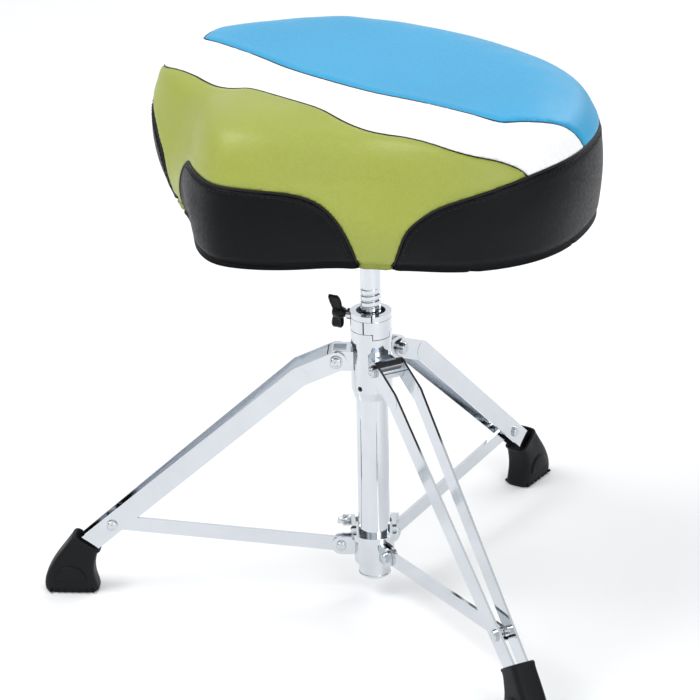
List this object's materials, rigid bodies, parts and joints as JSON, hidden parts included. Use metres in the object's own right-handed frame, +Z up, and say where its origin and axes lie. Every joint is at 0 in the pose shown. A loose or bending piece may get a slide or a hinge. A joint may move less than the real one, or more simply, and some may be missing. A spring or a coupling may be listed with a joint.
{
  "type": "drum throne",
  "caption": "Padded saddle seat on a threaded swivelling post over a folding double-braced tripod with rubber feet.",
  "frame": {"origin": "post axis at the floor", "axes": "+Z up, the nose of the saddle faces -Y, +X to the right of somebody looking along +Y"},
  "size_m": [0.5523, 0.527, 0.516],
  "materials": {
    "chrome_tube": "polished chrome plate",
    "chrome_casting": "polished chrome on a zinc casting",
    "chrome_strip": "polished chrome on flat steel strip",
    "chrome_fastener": "chrome plated rivets and screws",
    "dark_steel": "black oxide",
    "black_wing": "black fluted grip",
    "boot_rubber": "matte black rubber",
    "bracket_paint": "black powder coat",
    "plywood": "raw birch ply",
    "dust_cloth": "black non-woven cloth",
    "foam_core": "moulded foam under a vinyl cover",
    "vinyl_green": "olive green grained vinyl",
    "vinyl_white": "white grained vinyl",
    "vinyl_blue": "sky blue grained vinyl",
    "vinyl_black": "black grained vinyl",
    "piping": "black seam cord and stitching"
  },
  "bodies": {
    "column": {"center_tube": "chrome_tube", "tube_end_plug": "chrome_casting", "hub_casting": "chrome_casting", "hub_nut": "dark_steel", "hub_set_screw": "dark_steel", "memory_collar": "chrome_casting", "hub_rivet_back": "chrome_fastener", "hub_rivet_left": "chrome_fastener", "hub_rivet_right": "chrome_fastener"},
    "memory_screw": {"memory_wing_screw": "black_wing"},
    "leg_back": {"leg_back_strip_a": "chrome_strip", "leg_back_strip_b": "chrome_strip", "leg_back_foot_rivet": "chrome_fastener", "leg_back_spacer": "chrome_fastener", "leg_back_boot": "boot_rubber"},
    "leg_left": {"leg_left_strip_a": "chrome_strip", "leg_left_strip_b": "chrome_strip", "leg_left_foot_rivet": "chrome_fastener", "leg_left_spacer": "chrome_fastener", "leg_left_boot": "boot_rubber"},
    "leg_right": {"leg_right_strip_a": "chrome_strip", "leg_right_strip_b": "chrome_strip", "leg_right_foot_rivet": "chrome_fastener", "leg_right_spacer": "chrome_fastener", "leg_right_boot": "boot_rubber"},
    "slider": {"slider_collar": "chrome_casting", "strut_rivet_back": "chrome_fastener", "strut_rivet_left": "chrome_fastener", "strut_rivet_right": "chrome_fastener", "slider_clamp_nut": "chrome_fastener"},
    "slider_screw": {"slider_wing_screw": "chrome_fastener"},
    "strut_arm_back": {"strut_back": "chrome_strip"},
    "strut_arm_left": {"strut_left": "chrome_strip"},
    "strut_arm_right": {"strut_right": "chrome_strip"},
    "spindle": {"seat_spindle": "chrome_tube", "spindle_stop_ring": "dark_steel"},
    "seat": {"seat_bracket": "bracket_paint", "bracket_clamp_screw": "dark_steel", "bracket_bolts": "dark_steel", "seat_board": "plywood", "dust_cover": "dust_cloth", "seat_cushion": "foam_core"}
  },
  "joints": [
    {"name": "leg_back_fold", "type": "hinge", "parent": "column", "child": "leg_back", "pos_m": [-0.00556, 0.03151, 0.242], "axis": [-0.9848, -0.1736, 0], "range_deg": [0, 42.41]},
    {"name": "leg_left_fold", "type": "hinge", "parent": "column", "child": "leg_left", "pos_m": [-0.02451, -0.02057, 0.242], "axis": [0.6428, -0.766, 0], "range_deg": [0, 42.41]},
    {"name": "leg_right_fold", "type": "hinge", "parent": "column", "child": "leg_right", "pos_m": [0.03007, -0.01094, 0.242], "axis": [0.342, 0.9397, 0], "range_deg": [0, 42.41]},
    {"name": "slider_travel", "type": "slide", "parent": "column", "child": "slider", "axis": [0, 0, 1], "range_m": [0, 0.1337]},
    {"name": "strut_back_fold", "type": "hinge", "parent": "slider", "child": "strut_arm_back", "pos_m": [-0.00538, 0.03053, 0.049], "axis": [-0.9848, -0.1736, 0], "range_deg": [0, 83.83]},
    {"name": "strut_left_fold", "type": "hinge", "parent": "slider", "child": "strut_arm_left", "pos_m": [-0.02375, -0.01993, 0.049], "axis": [0.6428, -0.766, 0], "range_deg": [0, 83.83]},
    {"name": "strut_right_fold", "type": "hinge", "parent": "slider", "child": "strut_arm_right", "pos_m": [0.02913, -0.0106, 0.049], "axis": [0.342, 0.9397, 0], "range_deg": [0, 83.83]},
    {"name": "slider_screw_turn", "type": "hinge", "parent": "slider", "child": "slider_screw", "pos_m": [-0.01619, 0.01563, 0.064], "axis": [-0.6947, -0.7193, 0], "range_deg": [-360, 0]},
    {"name": "memory_screw_turn", "type": "hinge", "parent": "column", "child": "memory_screw", "pos_m": [-0.01826, -0.00524, 0.281], "axis": [-0.9613, -0.2756, 0], "range_deg": [0, 360]},
    {"name": "seat_height", "type": "slide", "parent": "column", "child": "spindle", "axis": [0, 0, 1], "range_m": [-0.05, 0.1]},
    {"name": "seat_swivel", "type": "hinge", "parent": "spindle", "child": "seat", "pos_m": [0, 0, 0.39], "axis": [0, 0, 1], "continuous": true}
  ],
  "couplings": [
    {"joint": "leg_left_fold", "follows": "leg_back_fold", "ratio": 1},
    {"joint": "leg_right_fold", "follows": "leg_back_fold", "ratio": 1},
    {"joint": "slider_travel", "follows": "leg_back_fold", "m_per_rad": 0.18063},
    {"joint": "strut_back_fold", "follows": "leg_back_fold", "ratio": 1.9766},
    {"joint": "strut_left_fold", "follows": "leg_back_fold", "ratio": 1.9766},
    {"joint": "strut_right_fold", "follows": "leg_back_fold", "ratio": 1.9766}
  ]
}
